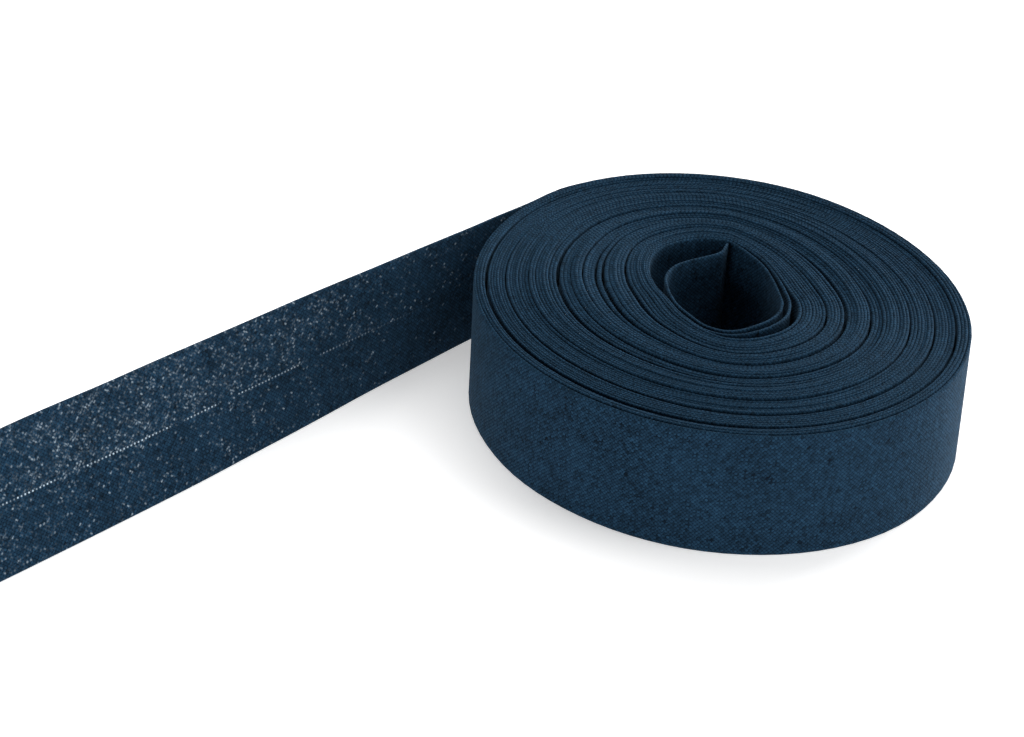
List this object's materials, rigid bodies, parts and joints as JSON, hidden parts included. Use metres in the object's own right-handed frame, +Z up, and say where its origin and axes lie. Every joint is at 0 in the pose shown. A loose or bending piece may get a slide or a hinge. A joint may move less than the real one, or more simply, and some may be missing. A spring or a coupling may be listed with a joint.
{
  "type": "roll of bias tape",
  "caption": "Loosely wound oval roll of folded cotton bias tape, lying flat with a drop-shaped empty middle and its outer end run out straight on edge.",
  "frame": {"origin": "middle of the whole part's base, on the surface that it lies on", "axes": "+X from the loose end towards the roll, +Y towards the side on which the loose end leaves the roll, +Z up along the roll's axis"},
  "size_m": [0.1504, 0.0812, 0.0203],
  "materials": {
    "cotton": "matte plain weave"
  },
  "bodies": {
    "root": {"wound_roll": "cotton", "loose_end": "cotton"}
  },
  "joints": []
}
